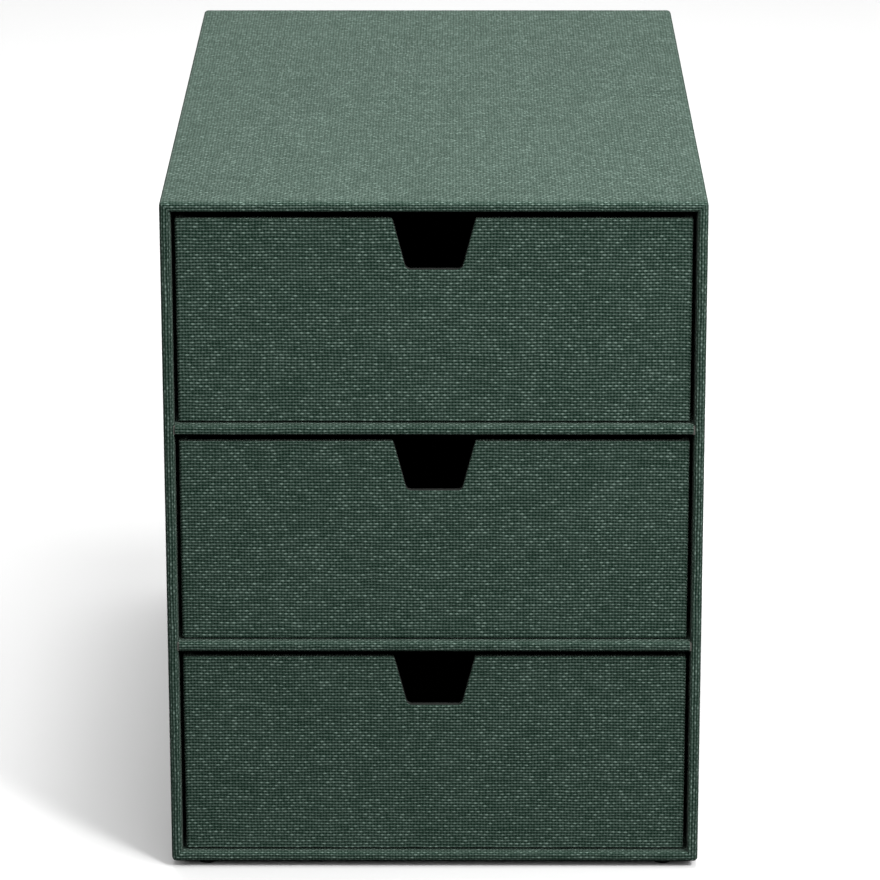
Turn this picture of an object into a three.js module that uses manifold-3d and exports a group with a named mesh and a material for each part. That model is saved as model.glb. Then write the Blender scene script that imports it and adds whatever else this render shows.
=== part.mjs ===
import * as THREE from 'three';
import { RoundedBoxGeometry } from 'three/addons/geometries/RoundedBoxGeometry.js';
import { mergeVertices } from 'three/addons/utils/BufferGeometryUtils.js';
import Module from 'manifold-3d';

// A file box that stands on a desk: a case of solid board, open at the front, in three bays
// one above the other, with a board drawer in each. Cloth is glued over all of it.
// Millimetres, +Z up. The drawers pull out towards -Y. The origin is on the desk, under the
// middle of the case.

// Sheet stock
const clothThickness = 0.4;
const liningThickness = 0.4;
const glueLine = 0.1;
const caseBoardThickness = 4;
const drawerBoardThickness = 3;

// Case
const caseWidth = 250;
const caseDepth = 400;
const caseEdgeRadius = 1.75;
const noseEdgeRadius = 0.7;
const bayHeight = 101.5;
const bayNames = ['lower', 'middle', 'upper'];
const shelfNames = ['lower', 'upper'];

// Cloth turned over the edges of the case
const frontHemDepth = 20;
const backHemWidth = 15;
const backSheetInset = 4;
const hemGap = 0.3;

// Feet
const footDiameter = 10;
const footFlatDiameter = 6;
const footHeight = 3;
const footInsetFromSide = 16.5;
const footInsetFromFront = 9.5;

// Drawers
const frontSetback = 3.5;
const sideClearance = 1.75;
const topClearance = 3.8;
const runningClearance = 0.7;
const backClearance = 0.5;
const drawerEdgeRadius = 0.7;
const drawerHemDepth = 15;

// Finger notch in each drawer front
const notchTopWidth = 38;
const notchBottomWidth = 25.5;
const notchDepth = 24.1;
const notchFilletRadius = 2;
const notchLipRadius = 1;
const notchHemWidth = 8;

// Cutting and rounding
const overrun = 1;
const leastRadius = 0.1;
const roundingSteps = 2;
const curveSteps = 4;
const footSteps = 28;

// The layers of a case wall, measured in from the outside of the case.
const innerSkin = Math.max(clothThickness, liningThickness);
const caseBoardOutside = clothThickness + glueLine;
const caseBoardInside = caseBoardOutside + caseBoardThickness;
const caseLiningOutside = caseBoardInside + glueLine;
const caseHemInside = caseLiningOutside + clothThickness;
const caseWall = caseLiningOutside + innerSkin;

// A shelf has a board with the same skin above and below it.
const shelfThickness = caseBoardThickness + 2 * (glueLine + innerSkin);
const bayPitch = bayHeight + shelfThickness;
const caseHeight = 2 * caseWall + bayPitch * bayNames.length - shelfThickness;
const caseLift = footHeight + glueLine;

// The wrapped body of the case ends where the sheet on its back begins.
const wrapDepth = caseDepth - clothThickness - glueLine;
const backBoardFront = wrapDepth - caseBoardInside;
const bayWidth = caseWidth - 2 * caseWall;
const bayDepth = backBoardFront - glueLine - innerSkin;

const drawerWidth = bayWidth - 2 * sideClearance;
const drawerHeight = bayHeight - topClearance - runningClearance;
const drawerLength = bayDepth - frontSetback - backClearance;

// The layers of a drawer wall, measured in from the outside of the drawer.
const drawerBoardOutside = clothThickness + glueLine;
const drawerBoardInside = drawerBoardOutside + drawerBoardThickness;
const drawerLiningOutside = drawerBoardInside + glueLine;
const drawerHemInside = drawerLiningOutside + clothThickness;
const drawerFrontHemDepth = notchDepth + notchHemWidth;

const wasm = await Module();
wasm.setup();

// A closed geometry as a solid that can be cut and joined.
function solidOf(geometry) {
  geometry.deleteAttribute('normal');
  geometry.deleteAttribute('uv');
  const merged = mergeVertices(geometry);
  const vertProperties = new Float32Array(merged.attributes.position.array);
  const triVerts = new Uint32Array(merged.index.array);
  return new wasm.Manifold(new wasm.Mesh({ numProp: 3, vertProperties, triVerts }));
}

// A named mesh of a solid, with its geometry about the solid's own middle.
function pieceOf(name, solid, material) {
  const { vertProperties, triVerts } = solid.getMesh();
  const shared = new THREE.BufferGeometry();
  shared.setAttribute('position', new THREE.BufferAttribute(vertProperties, 3));
  shared.setIndex(new THREE.BufferAttribute(triVerts, 1));
  const geometry = shared.toNonIndexed();
  geometry.computeVertexNormals();
  geometry.computeBoundingBox();
  const middle = geometry.boundingBox.getCenter(new THREE.Vector3());
  geometry.translate(-middle.x, -middle.y, -middle.z);
  const mesh = new THREE.Mesh(geometry, material);
  mesh.name = name;
  mesh.position.copy(middle);
  return mesh;
}

function block([left, right], [front, back], [bottom, top]) {
  const geometry = new THREE.BoxGeometry(right - left, back - front, top - bottom);
  geometry.translate((left + right) / 2, (front + back) / 2, (bottom + top) / 2);
  return solidOf(geometry);
}

function roundedBlock([left, right], [front, back], [bottom, top], radius) {
  const geometry = new RoundedBoxGeometry(right - left, back - front, top - bottom, roundingSteps, radius);
  geometry.translate((left + right) / 2, (front + back) / 2, (bottom + top) / 2);
  return solidOf(geometry);
}

// The span of something of this width about the middle, less an inset on each side.
function spanAcross(width, inset) {
  return [inset - width / 2, width / 2 - inset];
}

// The span from the near end to the far end of a length, less an inset at each end.
function spanAlong(length, inset) {
  return [inset, length - inset];
}

function clothMaterial() {
  return new THREE.MeshStandardMaterial({ color: 0x3a4c44, roughness: 0.92, metalness: 0 });
}

function boardMaterial() {
  return new THREE.MeshStandardMaterial({ color: 0x8f8a80, roughness: 0.95, metalness: 0 });
}

function liningMaterial() {
  return new THREE.MeshStandardMaterial({ color: 0x1d1f1c, roughness: 0.85, metalness: 0 });
}

function footMaterial() {
  return new THREE.MeshStandardMaterial({ color: 0x111111, roughness: 0.55, metalness: 0 });
}

// The wrapped body of the case as one block, drawn in by an inset on every side.
function caseBlock(inset) {
  const across = spanAcross(caseWidth, inset);
  const along = spanAlong(wrapDepth, inset);
  const up = spanAlong(caseHeight, inset);
  return roundedBlock(across, along, up, Math.max(caseEdgeRadius - inset, leastRadius));
}

// The top or the base: a board as wide as the case, rounded to the shape of the cloth.
function levelBoard(name, [bottom, top]) {
  const slab = block(spanAcross(caseWidth, 0), spanAlong(caseDepth, 0), [bottom, top]);
  return pieceOf(name, caseBlock(caseBoardOutside).intersect(slab), boardMaterial());
}

function topBoard() {
  return levelBoard('top_board', [caseHeight - caseBoardInside, caseHeight]);
}

function baseBoard() {
  return levelBoard('base_board', [0, caseBoardInside]);
}

// The side boards stand between the base and the top.
function sideBoard(name, side) {
  const outside = caseWidth / 2 * side;
  const inside = (caseWidth / 2 - caseBoardInside) * side;
  const across = [Math.min(outside, inside), Math.max(outside, inside)];
  const slab = block(across, spanAlong(caseDepth, 0), spanAlong(caseHeight, caseLiningOutside));
  return pieceOf(name, caseBlock(caseBoardOutside).intersect(slab), boardMaterial());
}

// The back board is let in between the other four.
function backBoard() {
  const across = spanAcross(caseWidth, caseLiningOutside);
  const up = spanAlong(caseHeight, caseLiningOutside);
  const back = wrapDepth - caseBoardOutside;
  return pieceOf('back_board', block(across, [backBoardFront, back], up), boardMaterial());
}

function bayFloor(bay) {
  return caseWall + bay * bayPitch;
}

// The height of the middle of a shelf's board. Shelf 0 is the roof of bay 0.
function shelfMiddle(shelf) {
  return bayFloor(shelf) + bayHeight + shelfThickness / 2;
}

// A shelf board runs from side to side and from the front to the back board.
function shelfBoard(shelf) {
  const across = spanAcross(caseWidth, caseLiningOutside);
  const along = [caseBoardOutside, backBoardFront - glueLine];
  const middle = shelfMiddle(shelf);
  const up = [middle - caseBoardThickness / 2, middle + caseBoardThickness / 2];
  return pieceOf(`${shelfNames[shelf]}_shelf_board`, block(across, along, up), boardMaterial());
}

// The rectangle where the case opens, as a ring of four corners at one depth.
function mouthRing(inset, depth) {
  const [left, right] = spanAcross(caseWidth, inset);
  const [bottom, top] = spanAlong(caseHeight, inset);
  return [left, depth, bottom, right, depth, bottom, right, depth, top, left, depth, top];
}

// The widening of the mouth at the very front, where the cloth rolls over the inner edge.
function mouthRounding() {
  const positions = mouthRing(caseHemInside - noseEdgeRadius, -overrun);
  const corners = positions.length / 3;
  for (let step = 0; step <= curveSteps; step += 1) {
    const angle = (Math.PI / 2) * (step / curveSteps);
    const widening = noseEdgeRadius * (1 - Math.sin(angle));
    positions.push(...mouthRing(caseHemInside - widening, noseEdgeRadius * (1 - Math.cos(angle))));
  }
  const rings = positions.length / (3 * corners);
  const last = (rings - 1) * corners;
  const faces = [0, 1, 2, 0, 2, 3, last, last + 2, last + 1, last, last + 3, last + 2];
  for (let ring = 0; ring < rings - 1; ring += 1) {
    for (let corner = 0; corner < corners; corner += 1) {
      const near = ring * corners + corner;
      const nearNext = ring * corners + (corner + 1) % corners;
      faces.push(near, near + corners, nearNext, nearNext, near + corners, nearNext + corners);
    }
  }
  const geometry = new THREE.BufferGeometry();
  geometry.setAttribute('position', new THREE.Float32BufferAttribute(positions, 3));
  geometry.setIndex(faces);
  return solidOf(geometry);
}

// One cloth goes round the case. It is turned in at the front, where it is slit for the
// shelves, and turned over on the back.
function caseCoverCloth() {
  const skin = caseBlock(0).subtract(caseBlock(clothThickness));
  const hemAlong = [clothThickness / 2, frontHemDepth];
  const hem = block(spanAcross(caseWidth, caseLiningOutside), hemAlong, spanAlong(caseHeight, caseLiningOutside));
  const mouthAlong = [-overrun, frontHemDepth + overrun];
  const mouth = block(spanAcross(caseWidth, caseHemInside), mouthAlong, spanAlong(caseHeight, caseHemInside));
  const windowAlong = [wrapDepth - caseBoardOutside, wrapDepth + overrun];
  const window = block(spanAcross(caseWidth, backHemWidth), windowAlong, spanAlong(caseHeight, backHemWidth));
  let cloth = skin.add(hem).subtract(mouth).subtract(mouthRounding()).subtract(window);
  const halfSlit = caseBoardThickness / 2 + glueLine;
  for (const shelf of shelfNames.keys()) {
    const middle = shelfMiddle(shelf);
    const slitAlong = [clothThickness, frontHemDepth + overrun];
    const slitUp = [middle - halfSlit, middle + halfSlit];
    cloth = cloth.subtract(block(spanAcross(caseWidth, caseBoardInside), slitAlong, slitUp));
  }
  return pieceOf('case_cover_cloth', cloth, clothMaterial());
}

// The sheet on the back lies over the turned edges and dips onto the board between them.
function backCoverCloth() {
  const rimAlong = [caseDepth - clothThickness, caseDepth];
  const rim = block(spanAcross(caseWidth, backSheetInset), rimAlong, spanAlong(caseHeight, backSheetInset));
  const dishInset = backHemWidth + hemGap;
  const dishAlong = [wrapDepth - clothThickness, caseDepth];
  const dish = block(spanAcross(caseWidth, dishInset), dishAlong, spanAlong(caseHeight, dishInset));
  const hollowInset = dishInset + clothThickness;
  const hollowAlong = [wrapDepth, caseDepth + overrun];
  const hollow = block(spanAcross(caseWidth, hollowInset), hollowAlong, spanAlong(caseHeight, hollowInset));
  return pieceOf('back_cover_cloth', rim.add(dish).subtract(hollow), clothMaterial());
}

// The strip of cloth folded over the front edge of a shelf, as an outline of depth and height.
function shelfEdgeOutline() {
  const inside = caseBoardThickness / 2 + glueLine;
  const outside = inside + clothThickness;
  const outline = new THREE.Shape();
  outline.moveTo(frontHemDepth, outside);
  outline.lineTo(noseEdgeRadius, outside);
  outline.absarc(noseEdgeRadius, outside - noseEdgeRadius, noseEdgeRadius, Math.PI / 2, Math.PI);
  outline.absarc(noseEdgeRadius, noseEdgeRadius - outside, noseEdgeRadius, Math.PI, 1.5 * Math.PI);
  outline.lineTo(frontHemDepth, -outside);
  outline.lineTo(frontHemDepth, -inside);
  outline.lineTo(clothThickness, -inside);
  outline.lineTo(clothThickness, inside);
  outline.lineTo(frontHemDepth, inside);
  return outline;
}

function shelfEdgeCloth(shelf) {
  const [left, right] = spanAcross(caseWidth, caseHemInside + glueLine);
  const settings = { depth: right - left, bevelEnabled: false, curveSegments: curveSteps };
  const geometry = new THREE.ExtrudeGeometry(shelfEdgeOutline(), settings);
  geometry.rotateX(Math.PI / 2);
  geometry.rotateZ(Math.PI / 2);
  geometry.translate(left, 0, shelfMiddle(shelf));
  return pieceOf(`${shelfNames[shelf]}_shelf_edge_cloth`, solidOf(geometry), clothMaterial());
}

// The lining of a bay covers its floor, roof, sides and back, from the turned-in cloth.
function bayLining(bay) {
  const front = frontHemDepth + hemGap;
  const back = backBoardFront - glueLine;
  const bottom = bayFloor(bay) - innerSkin;
  const top = bayFloor(bay) + bayHeight + innerSkin;
  const sheet = block(spanAcross(caseWidth, caseLiningOutside), [front, back], [bottom, top]);
  const room = block(
    spanAcross(caseWidth, caseLiningOutside + liningThickness),
    [front - overrun, back - liningThickness],
    [bottom + liningThickness, top - liningThickness],
  );
  return pieceOf(`${bayNames[bay]}_bay_lining`, sheet.subtract(room), liningMaterial());
}

// A stick-on foot, turned: flat where it stands, domed at the side, flat on top.
function foot(name, side, end) {
  const radius = footDiameter / 2;
  const flat = footFlatDiameter / 2;
  const profile = new THREE.Path();
  profile.moveTo(0, 0);
  profile.lineTo(flat, 0);
  profile.quadraticCurveTo(radius, 0, radius, footHeight);
  profile.lineTo(0, footHeight);
  const geometry = new THREE.LatheGeometry(profile.getPoints(curveSteps), footSteps);
  geometry.rotateX(Math.PI / 2);
  const mesh = pieceOf(name, solidOf(geometry), footMaterial());
  mesh.position.x = side * (caseWidth / 2 - footInsetFromSide);
  mesh.position.y = end * (caseDepth / 2 - footInsetFromFront);
  return mesh;
}

// The outline of the finger notch across the drawer front, let out all round by a margin.
function notchOutline(margin) {
  const slope = (notchTopWidth - notchBottomWidth) / 2 / notchDepth;
  const slant = Math.hypot(1, slope);
  const sideShift = margin * slant;
  const bottom = drawerHeight - notchDepth - margin;
  const top = drawerHeight - margin;
  const above = drawerHeight + overrun;
  const bottomHalf = notchBottomWidth / 2 + sideShift - margin * slope;
  const topHalf = notchTopWidth / 2 + sideShift - margin * slope;
  const lip = Math.max(notchLipRadius - margin, leastRadius);
  const fillet = notchFilletRadius + margin;
  const outline = new THREE.Shape();
  outline.moveTo(-topHalf - lip, above);
  outline.lineTo(-topHalf - lip, top);
  outline.quadraticCurveTo(-topHalf, top, -topHalf + lip * slope / slant, top - lip / slant);
  outline.lineTo(-bottomHalf - fillet * slope / slant, bottom + fillet / slant);
  outline.quadraticCurveTo(-bottomHalf, bottom, fillet - bottomHalf, bottom);
  outline.lineTo(bottomHalf - fillet, bottom);
  outline.quadraticCurveTo(bottomHalf, bottom, bottomHalf + fillet * slope / slant, bottom + fillet / slant);
  outline.lineTo(topHalf - lip * slope / slant, top - lip / slant);
  outline.quadraticCurveTo(topHalf, top, topHalf + lip, top);
  outline.lineTo(topHalf + lip, above);
  return outline;
}

// The room that the notch takes from whatever lies between two depths of the drawer front.
function notchCut(margin, [front, back]) {
  const settings = { depth: back - front, bevelEnabled: false, curveSegments: curveSteps };
  const geometry = new THREE.ExtrudeGeometry(notchOutline(margin), settings);
  geometry.rotateX(Math.PI / 2);
  geometry.translate(0, back, 0);
  return solidOf(geometry);
}

// The front board has the notch cut down from its top edge.
function drawerFrontBoard(drawerName) {
  const across = spanAcross(drawerWidth, drawerBoardOutside);
  const along = [drawerBoardOutside, drawerBoardInside];
  const board = block(across, along, spanAlong(drawerHeight, drawerBoardOutside));
  const cut = notchCut(drawerBoardOutside, [0, drawerLiningOutside]);
  return pieceOf(`${drawerName}_front_board`, board.subtract(cut), boardMaterial());
}

function drawerBackBoard(drawerName) {
  const across = spanAcross(drawerWidth, drawerBoardOutside);
  const along = [drawerLength - drawerBoardInside, drawerLength - drawerBoardOutside];
  const board = block(across, along, spanAlong(drawerHeight, drawerBoardOutside));
  return pieceOf(`${drawerName}_back_board`, board, boardMaterial());
}

// The side boards and the base board lie between the front and the back.
function drawerSideBoard(drawerName, sideName, side) {
  const outside = (drawerWidth / 2 - drawerBoardOutside) * side;
  const inside = (drawerWidth / 2 - drawerBoardInside) * side;
  const across = [Math.min(outside, inside), Math.max(outside, inside)];
  const along = spanAlong(drawerLength, drawerLiningOutside);
  const board = block(across, along, spanAlong(drawerHeight, drawerBoardOutside));
  return pieceOf(`${drawerName}_${sideName}_board`, board, boardMaterial());
}

function drawerBaseBoard(drawerName) {
  const across = spanAcross(drawerWidth, drawerLiningOutside);
  const along = spanAlong(drawerLength, drawerLiningOutside);
  const board = block(across, along, [drawerBoardOutside, drawerBoardInside]);
  return pieceOf(`${drawerName}_base_board`, board, boardMaterial());
}

// One cloth wraps a drawer outside. It goes over the top edges and through the notch, and is
// turned down inside.
function drawerCoverCloth(drawerName) {
  const outside = roundedBlock(
    spanAcross(drawerWidth, 0),
    spanAlong(drawerLength, 0),
    spanAlong(drawerHeight, 0),
    drawerEdgeRadius,
  );
  const boards = block(
    spanAcross(drawerWidth, clothThickness),
    spanAlong(drawerLength, clothThickness),
    spanAlong(drawerHeight, clothThickness),
  );
  const skin = outside.subtract(boards.subtract(notchCut(clothThickness, [0, drawerHemInside])));
  const hemAcross = spanAcross(drawerWidth, drawerLiningOutside);
  const hemTop = drawerHeight - clothThickness / 2;
  const hemAlong = spanAlong(drawerLength, drawerLiningOutside);
  const hem = block(hemAcross, hemAlong, [drawerHeight - drawerHemDepth, hemTop]);
  const frontHemAlong = [drawerLiningOutside, drawerHemInside];
  const frontHem = block(hemAcross, frontHemAlong, [drawerHeight - drawerFrontHemDepth, hemTop]);
  const room = block(
    spanAcross(drawerWidth, drawerHemInside),
    spanAlong(drawerLength, drawerHemInside),
    [drawerHemInside, drawerHeight + overrun],
  );
  const notch = notchCut(0, [-overrun, drawerHemInside + overrun]);
  const cloth = skin.add(hem).add(frontHem).subtract(room).subtract(notch);
  return pieceOf(`${drawerName}_cover_cloth`, cloth, clothMaterial());
}

// The lining covers the floor and the walls up to the turned-down cloth.
function drawerLining(drawerName) {
  const across = spanAcross(drawerWidth, drawerLiningOutside);
  const along = spanAlong(drawerLength, drawerLiningOutside);
  const top = drawerHeight - drawerHemDepth - hemGap;
  const sheet = block(across, along, [drawerLiningOutside, top]);
  const floor = drawerLiningOutside + liningThickness;
  const room = block(spanAcross(drawerWidth, floor), spanAlong(drawerLength, floor), [floor, top + overrun]);
  const frontAlong = [drawerBoardInside, floor];
  const frontTop = drawerHeight - drawerFrontHemDepth - hemGap;
  const front = block(spanAcross(drawerWidth, drawerBoardInside), frontAlong, [frontTop, top + overrun]);
  return pieceOf(`${drawerName}_lining`, sheet.subtract(room).subtract(front), liningMaterial());
}

// A drawer's own frame has its origin at the middle of the lower front edge.
function drawer(bay) {
  const drawerName = `${bayNames[bay]}_drawer`;
  const group = new THREE.Group();
  group.add(
    drawerFrontBoard(drawerName),
    drawerBackBoard(drawerName),
    drawerSideBoard(drawerName, 'left', -1),
    drawerSideBoard(drawerName, 'right', 1),
    drawerBaseBoard(drawerName),
    drawerCoverCloth(drawerName),
    drawerLining(drawerName),
  );
  group.position.set(0, frontSetback, bayFloor(bay) + runningClearance);
  return group;
}

// The box body's own frame has its origin at the middle of the case's lower front edge.
function boxBody() {
  const group = new THREE.Group();
  group.add(
    topBoard(),
    baseBoard(),
    sideBoard('left_side_board', -1),
    sideBoard('right_side_board', 1),
    backBoard(),
    caseCoverCloth(),
    backCoverCloth(),
  );
  for (const shelf of shelfNames.keys()) {
    group.add(shelfBoard(shelf), shelfEdgeCloth(shelf));
  }
  for (const bay of bayNames.keys()) {
    group.add(bayLining(bay), drawer(bay));
  }
  group.position.set(0, -caseDepth / 2, caseLift);
  return group;
}

const group = new THREE.Group();
group.add(
  boxBody(),
  foot('foot_front_left', -1, -1),
  foot('foot_front_right', 1, -1),
  foot('foot_back_left', -1, 1),
  foot('foot_back_right', 1, 1),
);

export default group;
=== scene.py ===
import math

import bmesh
import bpy
from mathutils import Matrix, Vector


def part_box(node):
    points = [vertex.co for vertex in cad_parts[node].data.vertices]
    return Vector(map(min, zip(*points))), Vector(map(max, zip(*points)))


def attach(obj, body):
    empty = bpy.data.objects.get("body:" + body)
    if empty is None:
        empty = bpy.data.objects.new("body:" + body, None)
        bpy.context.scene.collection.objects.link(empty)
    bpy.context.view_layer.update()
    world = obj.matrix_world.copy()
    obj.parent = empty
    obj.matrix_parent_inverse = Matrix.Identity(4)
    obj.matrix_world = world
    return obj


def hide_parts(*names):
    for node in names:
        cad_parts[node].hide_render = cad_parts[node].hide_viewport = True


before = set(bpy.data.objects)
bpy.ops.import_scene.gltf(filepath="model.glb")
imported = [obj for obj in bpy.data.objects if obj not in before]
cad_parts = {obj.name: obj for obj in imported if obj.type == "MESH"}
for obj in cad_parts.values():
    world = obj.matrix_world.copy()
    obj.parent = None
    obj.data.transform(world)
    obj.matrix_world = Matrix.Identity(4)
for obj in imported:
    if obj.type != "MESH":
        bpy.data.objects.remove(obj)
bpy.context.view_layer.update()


# The boards of the case, the shelves and the drawers are solid grey board, 4 mm thick in the
# case and 3 mm in the drawers. They are cut square and glued edge to edge, and the covering
# hides them all.
class Signal:
    """One outlet of a finish's nodes. Arithmetic on it adds Math nodes."""

    def __init__(self, tree, outlet=None):
        self.tree = tree
        self.outlet = outlet

    def __getitem__(self, name):
        """Another outlet of the same node."""
        return Signal(self.tree, self.outlet.node.outputs[name])

    def node(self, kind, settings, sockets):
        """Any other node: its type, its settings, and the values or links of its sockets."""
        node = self.tree.nodes.new(kind)
        for name, value in settings.items():
            setattr(node, name, value)
        for name, value in sockets.items():
            socket = node.inputs[name]
            if isinstance(name, str):
                socket = next(s for s in node.inputs if s.enabled and s.name == name)
            if isinstance(value, Signal):
                self.tree.links.new(value.outlet, socket)
            else:
                socket.default_value = value
        outlets = [s for s in node.outputs if s.enabled]
        return Signal(self.tree, outlets[0]) if outlets else None

    def maths(self, operation, *values):
        return self.node("ShaderNodeMath", {"operation": operation}, dict(enumerate(values)))

    def __add__(self, other):
        return self.maths("ADD", self, other)

    def __radd__(self, other):
        return self.maths("ADD", other, self)

    def __sub__(self, other):
        return self.maths("SUBTRACT", self, other)

    def __rsub__(self, other):
        return self.maths("SUBTRACT", other, self)

    def __mul__(self, other):
        return self.maths("MULTIPLY", self, other)

    def __rmul__(self, other):
        return self.maths("MULTIPLY", other, self)

    def __truediv__(self, other):
        return self.maths("DIVIDE", self, other)

    def __rtruediv__(self, other):
        return self.maths("DIVIDE", other, self)


def new_finish(name):
    """An empty material, and the start of its nodes."""
    finish = bpy.data.materials.new(name)
    finish.use_nodes = True
    finish.node_tree.nodes.clear()
    return finish, Signal(finish.node_tree)


def object_place(start):
    return start.node("ShaderNodeTexCoord", {}, {})["Object"]


def noise(start, place, scale, detail):
    sockets = {"Vector": place, "Scale": scale, "Detail": detail}
    return start.node("ShaderNodeTexNoise", {}, sockets)


def blend_colours(start, share, first, second):
    sockets = {"Factor": share, "A": (*first, 1), "B": (*second, 1)}
    return start.node("ShaderNodeMix", {"data_type": "RGBA"}, sockets)


def put_on(start, colour, roughness, height, depth, **steady):
    """Ends a finish: what varies over the surface, the relief, and the steady values."""
    relief = start.node("ShaderNodeBump", {}, {"Height": height, "Distance": depth, "Strength": 1})
    sockets = {"Base Color": colour, "Roughness": roughness, "Normal": relief, **steady}
    shader = start.node("ShaderNodeBsdfPrincipled", {}, sockets)
    start.node("ShaderNodeOutputMaterial", {}, {"Surface": shader})


def grey_board():
    dark_pulp = (0.030, 0.029, 0.026)
    pale_pulp = (0.085, 0.080, 0.072)
    fibre_depth = 0.00005
    finish, start = new_finish("grey_board")
    place = object_place(start)
    pulp = noise(start, place, scale=160, detail=6)
    flecks = noise(start, place, scale=1400, detail=2)
    colour = blend_colours(start, pulp * 0.6 + flecks * 0.5, dark_pulp, pale_pulp)
    put_on(start, colour, 0.88 + pulp * 0.1, pulp + flecks, fibre_depth)
    return finish


def dress(name_end, finish):
    """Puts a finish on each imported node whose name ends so."""
    for node_name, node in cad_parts.items():
        if node_name.endswith(name_end):
            for place in node.material_slots:
                place.material = finish


dress("board", grey_board())


# The linings are near-black paper, glued inside each bay and inside each drawer up to the
# turned-in cloth. Little light reaches them, so the openings look black.
# The same paper is put on the edges of the drawers' finger notches, as painted shade.
def lining_paper():
    dark_paper = (0.006, 0.007, 0.0065)
    worn_paper = (0.02, 0.022, 0.02)
    tooth_depth = 0.00003
    finish, start = new_finish("lining_paper")
    place = object_place(start)
    tooth = noise(start, place, scale=2600, detail=3)
    clouds = noise(start, place, scale=90, detail=4)
    colour = blend_colours(start, tooth * 0.5 + clouds * 0.5, dark_paper, worn_paper)
    steady = {"Specular IOR Level": 0.12}
    put_on(start, colour, 0.7 + clouds * 0.2, tooth, tooth_depth, **steady)
    return finish


paper_and_shade_finish = lining_paper()
dress("lining", paper_and_shade_finish)


# The cloth that covers the case is a plain-woven book cloth, glued to the boards in one
# piece. It is turned in round the mouth, slit there for the shelves, and turned over on the
# back.
cloth_thickness = 0.0004
warp_pitch = 0.00143
weft_pitch = 0.00149
nose_width = 0.005
case_corner_radius = 0.0021
case_lip_radius = 0.00165
front_hem = 0.020
back_hem = 0.015
slit_half_height = 0.0021
slit_reach = 0.001
soft_edge_angle = math.radians(35)

# What lies along an axis by more than these shares is square to it, or mostly along it.
square_on = 0.9
mostly = 0.5


def woven_cloth():
    # The hollow colour is the dark green dye, darkened further as painted shade for the hollows
    # between threads.
    dye_and_shade_green = (0.0008, 0.0100, 0.0050)
    # The pale colour is the fibres' grey-green, lightened further as painted highlight for the
    # crowns of the threads.
    fibre_and_sheen_green = (0.112, 0.158, 0.135)
    weave_depth = 0.00022
    end_wander, pick_wander, dash_wander = 0.9, 0.55, 0.55
    slub_step = 5.7
    fibre_run, fibre_spread = 2.2, 13
    finish, start = new_finish("green_book_cloth")

    def wave(value):
        return start.maths("COSINE", value * math.pi)

    def higher(first, second):
        return start.maths("MAXIMUM", first, second)

    def at(across, up):
        return start.node("ShaderNodeCombineXYZ", {}, {"X": across, "Y": up})

    def chance(across, up):
        settings = {"noise_dimensions": "2D"}
        return start.node("ShaderNodeTexWhiteNoise", settings, {"Vector": at(across, up)})

    place = start.node("ShaderNodeUVMap", {"uv_map": "threads"}, {})
    drift = noise(start, place, scale=65, detail=1)["Color"]
    drift = start.node("ShaderNodeSeparateXYZ", {}, {"Vector": drift})
    thread = start.node("ShaderNodeSeparateXYZ", {}, {"Vector": place})
    ends = thread["X"] / warp_pitch + (drift["X"] - 0.5) * end_wander
    picks = thread["Y"] / weft_pitch + (drift["Y"] - 0.5) * pick_wander
    end = start.maths("FLOOR", ends)
    pick = start.maths("FLOOR", picks)

    # The weft passes over every second end, and the other ends in the next pick. Each pick
    # lies a little off its even place.
    along_pick = ends + pick + (chance(pick, 0.5) - 0.5) * dash_wander
    over = wave(along_pick - 0.5) * 0.5 + 0.5
    dash = start.maths("FLOOR", (along_pick + 0.5) * 0.5)
    luck = chance(dash, pick)
    slub = noise(start, at(ends * 0.15, pick * slub_step), scale=1, detail=2)
    weft_middle = (picks - pick - 0.5 + (luck - 0.5) * 0.10) / (0.27 + slub * 0.17)
    weft_round = higher(1 - weft_middle * weft_middle, 0)
    weft_height = weft_round * (0.55 + over * 0.45)

    warp_over = 0.5 - wave(picks + end - 0.5) * 0.5
    warp_slub = noise(start, at(picks * 0.21, end * slub_step), scale=1, detail=2)
    warp_middle = (ends - end - 0.5) / (0.24 + warp_slub * 0.16)
    warp_round = higher(1 - warp_middle * warp_middle, 0)
    warp_height = warp_round * (0.10 + warp_over * 0.35)
    height = higher(weft_height, warp_height)

    # Fibres run along each thread. The crowns of the threads are painted pale, most where the weft
    # is over and at random crossings: a painted highlight over the green of the fibres. Towards the
    # edges of each thread the colour falls to the dark green of the hollows, as painted shade.
    weft_fibre = noise(start, at(ends * fibre_run, picks * fibre_spread), scale=1, detail=2)
    warp_fibre = noise(start, at(ends * fibre_spread, picks * fibre_run), scale=1, detail=2)
    clouds = noise(start, place, scale=26, detail=3) - 0.5
    crown = start.maths("POWER", over, 1.3)
    bright = 0.28 + start.maths("POWER", luck, 3.0) * 0.85
    pale = weft_round * (slub * 0.60 - 0.02 + crown * bright)
    dull = warp_round * warp_over * (0.12 + warp_slub * 0.30)
    # Painted shade: the colour darkens in the grooves between the warp ends.
    between = (0.84 - wave(ends * 2) * 0.16) * (0.76 + warp_slub * 0.48)
    share = higher(pale * (0.65 + weft_fibre * 0.7), dull * (0.65 + warp_fibre * 0.7)) * between
    share = start.node("ShaderNodeClamp", {}, {"Value": share + clouds * 0.06})
    colour = blend_colours(start, share, dye_and_shade_green, fibre_and_sheen_green)
    steady = {
        "Specular IOR Level": 0.05,
        "Sheen Weight": 0.045,
        "Sheen Roughness": 0.45,
        "Sheen Tint": (0.85, 0.86, 0.80, 1),
    }
    relief = height + (weft_fibre - 0.5) * 0.10
    put_on(start, colour, 0.92 - height * 0.22, relief, weave_depth, **steady)
    return finish


cloth_finish = woven_cloth()


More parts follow.
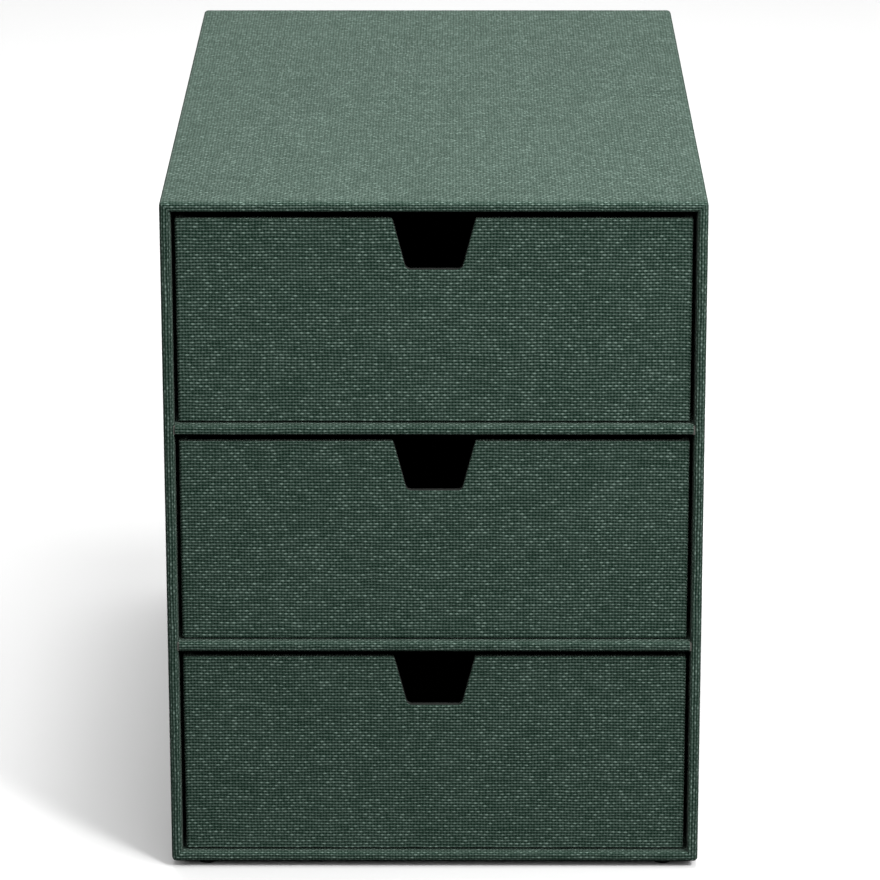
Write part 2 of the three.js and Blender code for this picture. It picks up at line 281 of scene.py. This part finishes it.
def start_block(name, low, high):
    """A block from its lowest to its highest corner, ready in edit mode."""
    bpy.ops.object.select_all(action="DESELECT")
    bpy.ops.mesh.primitive_cube_add(size=1, location=(low + high) / 2, scale=high - low)
    piece = bpy.context.object
    piece.name = name
    bpy.ops.object.transform_apply(location=True, rotation=True, scale=True)
    bpy.ops.object.mode_set(mode="EDIT")
    return piece


def pick_faces(piece, wanted):
    """Selects the faces whose middle and normal pass a test, and no others."""
    bpy.ops.mesh.select_all(action="DESELECT")
    bpy.ops.mesh.select_mode(type="FACE")
    shape = bmesh.from_edit_mesh(piece.data)
    for face in shape.faces:
        face.select_set(bool(wanted(face.calc_center_median(), face.normal)))
    bmesh.update_edit_mesh(piece.data)


def pick_edges(piece, wanted):
    """Selects the edges whose middle, direction and faces pass a test, and no others."""
    bpy.ops.mesh.select_all(action="DESELECT")
    bpy.ops.mesh.select_mode(type="EDGE")
    shape = bmesh.from_edit_mesh(piece.data)
    for edge in shape.edges:
        first, last = (v.co for v in edge.verts)
        way = (last - first).normalized()
        edge.select_set(bool(wanted((first + last) / 2, way, edge.link_faces)))
    bmesh.update_edit_mesh(piece.data)


def near(value, target, reach=0.00005):
    return abs(value - target) < reach


def round_edges(radius, steps):
    bpy.ops.mesh.bevel(
        offset=radius, offset_type="OFFSET", segments=steps, profile=0.5, affect="EDGES"
    )


def cut_level(height):
    bpy.ops.mesh.bisect(plane_co=(0, 0, height), plane_no=(0, 0, 1))


def smooth(piece):
    """Shades a piece smooth except at its sharp edges, with its flats kept flat."""
    bpy.ops.object.mode_set(mode="OBJECT")
    bpy.ops.object.shade_smooth_by_angle(angle=soft_edge_angle)
    flats = piece.modifiers.new("flats", "WEIGHTED_NORMAL")
    flats.keep_sharp = True
    flats.weight = 100
    bpy.ops.object.modifier_apply(modifier=flats.name)


def thicken(piece):
    """Gives the cloth's outer face its thickness, inwards."""
    bpy.ops.object.mode_set(mode="OBJECT")
    sheet = piece.modifiers.new("thickness", "SOLIDIFY")
    sheet.thickness = cloth_thickness
    sheet.offset = -1
    sheet.use_even_offset = True
    bpy.ops.object.modifier_apply(modifier=sheet.name)
    smooth(piece)


def lay_threads(piece, unrolled):
    """Writes where each point of the cloth lies on the flat cloth, in metres: first along
    the weft, then along the warp."""
    layer = piece.data.uv_layers.new(name="threads")
    for face in piece.data.polygons:
        for corner in face.loop_indices:
            point = piece.data.vertices[piece.data.loops[corner].vertex_index].co
            layer.data[corner].uv = unrolled(point, face.center, face.normal)
    for old in [m for m in piece.data.uv_layers if m.name != "threads"]:
        piece.data.uv_layers.remove(old)


def finish_piece(piece, finish, body, node_name):
    """Dresses a piece, and says what it rides on, what it replaces and what it is made of."""
    piece.data.materials.append(finish)
    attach(piece, body)
    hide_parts(node_name)


case_low, case_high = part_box("case_cover_cloth")
mouth_low = case_low + Vector((nose_width, 0, nose_width))
mouth_high = case_high - Vector((nose_width, 0, nose_width))
case_front, case_back = case_low.y, case_high.y
case_half_width = case_high.x
shelf_levels = [sum(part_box(f"{name}_shelf_board"), Vector()).z / 2 for name in ("lower", "upper")]

case_cloth = start_block("case_cloth", case_low, case_high)
pick_faces(case_cloth, lambda middle, normal: normal.y < -square_on)
bpy.ops.mesh.inset(thickness=nose_width, depth=0)
bpy.ops.mesh.extrude_region_move(TRANSFORM_OT_translate={"value": (0, front_hem, 0)})
bpy.ops.mesh.delete(type="FACE")
pick_faces(case_cloth, lambda middle, normal: normal.y > square_on)
bpy.ops.mesh.inset(thickness=back_hem, depth=0)
bpy.ops.mesh.delete(type="FACE")


def on_outside(middle, way, faces):
    across = near(abs(middle.x), case_half_width)
    level = near(middle.z, case_low.z) or near(middle.z, case_high.z)
    end = near(middle.y, case_front) or near(middle.y, case_back)
    return across + level + end >= 2


def on_mouth_lip(middle, way, faces):
    level = near(middle.z, mouth_low.z) or near(middle.z, mouth_high.z)
    return near(middle.y, case_front) and (near(abs(middle.x), mouth_high.x) or level)


def beside_mouth(middle, normal):
    return near(abs(middle.x), mouth_high.x, slit_reach)


def in_slit(middle, normal):
    at_shelf = any(abs(middle.z - level) < slit_half_height for level in shelf_levels)
    return beside_mouth(middle, normal) and middle.y > case_front + cloth_thickness and at_shelf


pick_edges(case_cloth, on_outside)
round_edges(case_corner_radius, steps=5)
pick_edges(case_cloth, on_mouth_lip)
round_edges(case_lip_radius, steps=4)
for level in shelf_levels:
    for slit_edge in (level - slit_half_height, level + slit_half_height):
        pick_faces(case_cloth, beside_mouth)
        cut_level(slit_edge)
pick_faces(case_cloth, in_slit)
bpy.ops.mesh.delete(type="FACE")
thicken(case_cloth)


def unrolled_case(point, middle, normal):
    from_side = case_half_width - abs(middle.x)
    from_level = min(case_high.z - middle.z, middle.z - case_low.z)
    drop = case_high.z - point.z
    on_side = from_side < from_level
    inwards = case_half_width - abs(point.x) if on_side else min(drop, point.z - case_low.z)
    depth = point.y - case_front
    if middle.y > (case_front + case_back) / 2:
        along = depth + inwards
    elif min(from_side, from_level) < nose_width / 2:
        along = depth - inwards
    else:
        along = -depth - inwards
    if on_side:
        across = math.copysign(case_half_width + drop, middle.x)
    elif middle.z > (case_low.z + case_high.z) / 2:
        across = point.x
    else:
        across = 3 * case_half_width + (case_high.z - case_low.z) - point.x
    return across, along


lay_threads(case_cloth, unrolled_case)
finish_piece(case_cloth, cloth_finish, "case", "case_cover_cloth")


# The back of the case is covered by a sheet of the same cloth. It is pasted over the turned
# edges a little inside the outline, and sinks onto the board between them.
sheet_step = 0.0005
sheet_slope = 0.0008
sheet_rounding = 0.0003
sheet_low, sheet_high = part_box("back_cover_cloth")
sheet_middle = (sheet_low + sheet_high) / 2
rim_width = back_hem - (sheet_low.x - case_low.x)

back_sheet = start_block("back_sheet", sheet_low, sheet_high)
pick_faces(back_sheet, lambda middle, normal: normal.y < square_on)
bpy.ops.mesh.delete(type="FACE")
pick_faces(back_sheet, lambda middle, normal: True)
bpy.ops.mesh.inset(thickness=rim_width, depth=0)
bpy.ops.mesh.inset(thickness=sheet_slope, depth=0)
bpy.ops.transform.translate(value=(0, -sheet_step, 0))
for inset in (rim_width, rim_width + sheet_slope):
    reach = sheet_high - sheet_middle - Vector((inset, 0, inset))
    pick_edges(
        back_sheet,
        lambda middle, way, faces: near(abs(middle.x - sheet_middle.x), reach.x)
        or near(abs(middle.z - sheet_middle.z), reach.z),
    )
    round_edges(sheet_rounding, steps=3)
thicken(back_sheet)
lay_threads(back_sheet, lambda point, middle, normal: (point.x, point.z))
finish_piece(back_sheet, cloth_finish, "case", "back_cover_cloth")


# A strip of cloth is folded over the front edge of each shelf. It ends against the side
# walls, where the edges of the fold draw in a little.
shelf_nose_radius = 0.00165
shelf_end_radius = 0.0006


def shelf_edge(name, low, high):
    strip = start_block(name, low, high)
    pick_faces(strip, lambda middle, normal: normal.y > square_on)
    bpy.ops.mesh.delete(type="FACE")
    pick_edges(strip, lambda middle, way, faces: near(middle.y, low.y) and abs(way.x) > square_on)
    round_edges(shelf_nose_radius, steps=5)
    nose_depth = low.y + shelf_nose_radius
    pick_edges(
        strip, lambda middle, way, faces: near(abs(middle.x), high.x) and middle.y < nose_depth
    )
    round_edges(shelf_end_radius, steps=2)
    pick_faces(strip, lambda middle, normal: abs(normal.x) > square_on)
    bpy.ops.mesh.delete(type="FACE")
    thicken(strip)
    return strip


def copy_piece(piece, name, move):
    """A copy with a mesh of its own, moved within its mesh."""
    bpy.ops.object.select_all(action="DESELECT")
    piece.select_set(True)
    bpy.context.view_layer.objects.active = piece
    bpy.ops.object.duplicate()
    twin = bpy.context.object
    twin.name = name
    bpy.ops.transform.translate(value=move)
    bpy.ops.object.transform_apply(location=True, rotation=True, scale=True)
    return twin


def unrolled_strip(low, high):
    level = (low.z + high.z) / 2

    def unrolled(point, middle, normal):
        return point.x, point.z + math.copysign(point.y - low.y, middle.z - level)

    return unrolled


strip_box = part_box("lower_shelf_edge_cloth")
strips = {"lower": shelf_edge("lower_shelf_edge", *strip_box)}
strip_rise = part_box("upper_shelf_edge_cloth")[0] - strip_box[0]
strips["upper"] = copy_piece(strips["lower"], "upper_shelf_edge", strip_rise)
for name, strip in strips.items():
    node_name = f"{name}_shelf_edge_cloth"
    lay_threads(strip, unrolled_strip(*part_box(node_name)))
    finish_piece(strip, cloth_finish, "case", node_name)


# Each drawer is a tray of board. One piece of the cloth goes round it and over its top
# edges, through the finger notch, and is turned down inside. The notch's own edges carry the
# near-black lining paper as painted shade.
drawer_wall = 0.004
drawer_corner_radius = 0.0015
drawer_edge_radius = 0.0008
drawer_hem = 0.015
front_hem_drop = 0.0321
notch_top_width = 0.038
notch_bottom_width = 0.0255
notch_depth = 0.0241
notch_fillet = 0.002
notch_slope = (notch_top_width - notch_bottom_width) / 2 / notch_depth
sharp_angle = 0.6
flat_angle = 0.01
upright = 0.99
slack = 0.0001


def cut_notch(cloth, low, high):
    """Cuts the notch down from the top edge of the front wall, and closes its three sides."""
    notch_floor = high.z - notch_depth

    def in_front_wall(middle):
        return middle.y < low.y + drawer_wall + slack

    pick_faces(cloth, lambda middle, normal: in_front_wall(middle) and abs(normal.y) > square_on)
    cut_level(notch_floor)
    for side in (-1, 1):
        slant = Vector((1, 0, -side * notch_slope)).normalized()
        pick_faces(cloth, lambda middle, normal: in_front_wall(middle) and middle.z > notch_floor)
        bpy.ops.mesh.bisect(plane_co=(side * notch_top_width / 2, 0, high.z), plane_no=slant)
    pick_faces(
        cloth,
        lambda middle, normal: in_front_wall(middle)
        and middle.z > notch_floor
        and abs(middle.x) < notch_bottom_width / 2,
    )
    bpy.ops.mesh.delete(type="FACE")
    pick_edges(cloth, lambda middle, way, faces: len(faces) == 1 and near(way.y, 0))
    bpy.ops.mesh.bridge_edge_loops()
    bpy.ops.mesh.normals_make_consistent(inside=False)
    bpy.ops.mesh.select_all(action="SELECT")
    bpy.ops.mesh.dissolve_limited(angle_limit=flat_angle)
    pick_edges(
        cloth,
        lambda middle, way, faces: abs(way.y) > square_on
        and near(abs(middle.x), notch_bottom_width / 2)
        and near(middle.z, notch_floor),
    )
    round_edges(notch_fillet, steps=6)


def drawer_cloth(name, low, high):
    cloth = start_block(name, low, high)
    pick_faces(cloth, lambda middle, normal: normal.z > square_on)
    bpy.ops.mesh.inset(thickness=drawer_wall, depth=0)
    sink = (0, 0, drawer_wall - (high.z - low.z))
    bpy.ops.mesh.extrude_region_move(TRANSFORM_OT_translate={"value": sink})
    cut_notch(cloth, low, high)
    inner_front = low.y + drawer_wall
    inner_back = high.y - drawer_wall
    inner_side = high.x - drawer_wall

    def on_front_hem(middle, normal):
        return near(middle.y, inner_front) and normal.y > square_on

    def on_other_hems(middle, normal):
        between = inner_front + slack < middle.y < inner_back + slack
        return between and abs(middle.x) < inner_side + slack and abs(normal.z) < mostly

    def past_hems(middle, normal):
        past_front_hem = on_front_hem(middle, normal) and middle.z < high.z - front_hem_drop
        past_other_hems = on_other_hems(middle, normal) and middle.z < high.z - drawer_hem
        return past_front_hem or past_other_hems or near(middle.z, low.z + drawer_wall)

    pick_faces(cloth, on_front_hem)
    cut_level(high.z - front_hem_drop)
    pick_faces(cloth, on_other_hems)
    cut_level(high.z - drawer_hem)
    pick_faces(cloth, past_hems)
    bpy.ops.mesh.delete(type="FACE")

    def on_outer_corner(middle, way, faces):
        return abs(way.z) > upright and near(abs(middle.x), high.x)

    def on_other_edge(middle, way, faces):
        sharp = len(faces) == 2 and faces[0].normal.angle(faces[1].normal) > sharp_angle
        return sharp and abs(way.z) <= upright

    pick_edges(cloth, on_outer_corner)
    round_edges(drawer_corner_radius, steps=5)
    pick_edges(cloth, on_other_edge)
    round_edges(drawer_edge_radius, steps=4)
    thicken(cloth)
    return cloth


def in_notch(middle, low, high):
    """Whether a face lies in the notch, between the rounded edges of the front wall."""
    skin = 0.75 * drawer_edge_radius
    within = low.y + skin < middle.y < low.y + drawer_wall - skin
    below_top = middle.z < high.z - drawer_edge_radius
    return within and below_top and abs(middle.x) < notch_top_width / 2 + drawer_edge_radius


def unrolled_drawer(low, high):
    def unrolled(point, middle, normal):
        from_side = high.x - abs(middle.x)
        from_end = min(middle.y - low.y, high.y - middle.y)
        on_side = from_side < from_end + slack
        if middle.z < low.z + cloth_thickness / 2 and abs(normal.z) > mostly:
            return point.x, low.z - (point.y - low.y)
        if in_notch(middle, low, high):
            if abs(normal.x) > mostly:
                return point.x + math.copysign(point.y - low.y, -middle.x), point.z
            return point.x, point.z + (point.y - low.y)
        inwards = high.x - abs(point.x) if on_side else min(point.y - low.y, high.y - point.y)
        inner = min(from_side, from_end) > drawer_wall / 2
        along = 2 * high.z - point.z + inwards if inner else point.z + inwards
        if on_side:
            across = math.copysign(high.x + (point.y - low.y), middle.x)
        elif middle.y < 0:
            across = point.x
        else:
            across = 3 * high.x + (high.y - low.y) - point.x
        return across, along

    return unrolled


def is_notch_edge(face, low, high):
    in_wall = face.center.y < low.y + drawer_wall and abs(face.center.x) < notch_top_width / 2
    above_floor = face.center.z > high.z - notch_depth - notch_fillet
    return in_wall and above_floor and abs(face.normal.y) < mostly


drawer_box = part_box("upper_drawer_cover_cloth")
cloths = {"upper": drawer_cloth("upper_drawer_cloth", *drawer_box)}
for name in ("middle", "lower"):
    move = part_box(f"{name}_drawer_cover_cloth")[0] - drawer_box[0]
    cloths[name] = copy_piece(cloths["upper"], f"{name}_drawer_cloth", move)
for name, cloth in cloths.items():
    node_name = f"{name}_drawer_cover_cloth"
    low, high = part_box(node_name)
    lay_threads(cloth, unrolled_drawer(low, high))
    finish_piece(cloth, cloth_finish, f"{name}_drawer", node_name)
    # The notch's edge faces get the near-black lining paper: painted shade.
    cloth.data.materials.append(paper_and_shade_finish)
    for face in cloth.data.polygons:
        if is_notch_edge(face, low, high):
            face.material_index = 1


# The feet are black moulded rubber, stuck under the base near its corners. The lower edge
# of each is rounded off to a flat that stands on the desk.
foot_rounding = 0.002
foot_top_rounding = 0.0002
foot_sides = 48


def foot_rubber():
    clean_rubber = (0.006, 0.006, 0.006)
    dusty_rubber = (0.018, 0.018, 0.017)
    grain_depth = 0.00002
    finish, start = new_finish("foot_rubber")
    place = object_place(start)
    grain = noise(start, place, scale=3500, detail=2)
    dust = noise(start, place, scale=420, detail=3)
    colour = blend_colours(start, dust, clean_rubber, dusty_rubber)
    put_on(start, colour, 0.42 + dust * 0.25, grain, grain_depth)
    return finish


def rubber_foot(name, low, high):
    radius, height = (high.x - low.x) / 2, high.z - low.z
    bpy.ops.object.select_all(action="DESELECT")
    bpy.ops.mesh.primitive_cylinder_add(
        vertices=foot_sides, radius=radius, depth=height, location=(low + high) / 2
    )
    foot = bpy.context.object
    foot.name = name
    bpy.ops.object.transform_apply(location=True, rotation=True, scale=True)
    bpy.ops.object.mode_set(mode="EDIT")
    pick_edges(foot, lambda middle, way, faces: near(middle.z, low.z))
    round_edges(foot_rounding, steps=8)
    pick_edges(foot, lambda middle, way, faces: near(middle.z, high.z))
    round_edges(foot_top_rounding, steps=2)
    smooth(foot)
    return foot


foot_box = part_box("foot_front_left")
feet = {"front_left": rubber_foot("rubber_foot_front_left", *foot_box)}
for corner in ("front_right", "back_left", "back_right"):
    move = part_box(f"foot_{corner}")[0] - foot_box[0]
    feet[corner] = copy_piece(feet["front_left"], f"rubber_foot_{corner}", move)
rubber_finish = foot_rubber()
for corner, foot in feet.items():
    finish_piece(foot, rubber_finish, "case", f"foot_{corner}")


# The box stands on a plain pale floor. Soft lights hang over it and behind it, and two more in
# front on the right throw its shadow to the left. The pale room round it is brightest in front.
def floor_finish():
    floor_grey = (0.464, 0.464, 0.464)
    paler_grey = (0.469, 0.469, 0.469)
    paper_depth = 0.00001
    finish, start = new_finish("pale_floor")
    place = object_place(start)
    tone = blend_colours(start, noise(start, place, scale=3, detail=2), floor_grey, paler_grey)
    steady = {"Specular IOR Level": 0.1}
    put_on(start, tone, 0.9, noise(start, place, scale=300, detail=2), paper_depth, **steady)
    return finish


floor_width = 24
bpy.ops.object.select_all(action="DESELECT")
bpy.ops.mesh.primitive_plane_add(size=floor_width, location=(0, 0, 0))
studio_floor = bpy.context.object
studio_floor.name = "studio_floor"
studio_floor.data.materials.append(floor_finish())
studio_floor.visible_diffuse = False
studio_floor.visible_glossy = False

light_aim = Vector((0, -0.05, 0.16))


def soft_light(name, place, size, power):
    lamp = bpy.data.lights.new(name, "AREA")
    lamp.shape = "DISK"
    lamp.size = size
    lamp.energy = power
    fixture = bpy.data.objects.new(name, lamp)
    fixture.location = place
    fixture.rotation_euler = (light_aim - Vector(place)).to_track_quat("-Z", "Y").to_euler()
    bpy.context.collection.objects.link(fixture)


soft_light("key_light", (1.069, -1.082, 1.498), size=0.7, power=25)
soft_light("near_key_light", (0.733, -1.137, 1.190), size=0.3, power=24)
soft_light("overhead_light", (0, 0.545, 2.382), size=1.0, power=60)
soft_light("back_light", (0, 1.865, 1.767), size=1.2, power=7.4)
soft_light("high_light", (0.36, -0.258, 2.116), size=0.5, power=16)


def pale_room():
    """The light of the room itself. It comes from above, the more the higher, and from a
    bright band in front, half-way up."""
    low_height, high_height = 0.2, 0.7
    low_light, high_light = 0.124, 0.743
    band_height, band_reach, band_light = 0.55, 0.20, 2.0
    room = bpy.data.worlds.new("pale_room")
    room.use_nodes = True
    room.node_tree.nodes.clear()
    start = Signal(room.node_tree)
    way = start.node("ShaderNodeTexCoord", {}, {})["Generated"]
    way = start.node("ShaderNodeSeparateXYZ", {}, {"Vector": way})
    above = start.maths("GREATER_THAN", way["Z"], 0.0)
    in_front = start.maths("LESS_THAN", way["Y"], 0.0)
    in_band = start.maths("COMPARE", way["Z"], band_height, band_reach)
    sockets = {
        "Value": way["Z"],
        "From Min": low_height,
        "From Max": high_height,
        "To Min": low_light,
        "To Max": high_light,
    }
    light = start.node("ShaderNodeMapRange", {}, sockets)
    light = (light + in_front * in_band * band_light) * above
    sockets = {"Color": (1, 1, 1, 1), "Strength": light}
    shader = start.node("ShaderNodeBackground", {}, sockets)
    start.node("ShaderNodeOutputWorld", {}, {"Surface": shader})
    return room


bpy.context.scene.world = pale_room()

camera_place = (0.01102, -2.22439, 0.86907)
camera_turn = 0.0041
camera_tilt = math.pi / 2 - 0.3129
camera_roll = -0.0010
lens_data = bpy.data.cameras.new("camera")
lens_data.sensor_width = 36
lens_data.lens = 188.6
lens_data.clip_start = 0.05
lens_data.clip_end = 60
camera = bpy.data.objects.new("camera", lens_data)
bpy.context.collection.objects.link(camera)
camera.matrix_world = (
    Matrix.Translation(camera_place)
    @ Matrix.Rotation(camera_turn, 4, "Z")
    @ Matrix.Rotation(camera_tilt, 4, "X")
    @ Matrix.Rotation(camera_roll, 4, "Z")
)
bpy.context.scene.camera = camera
bpy.context.scene.view_settings.view_transform = "Standard"
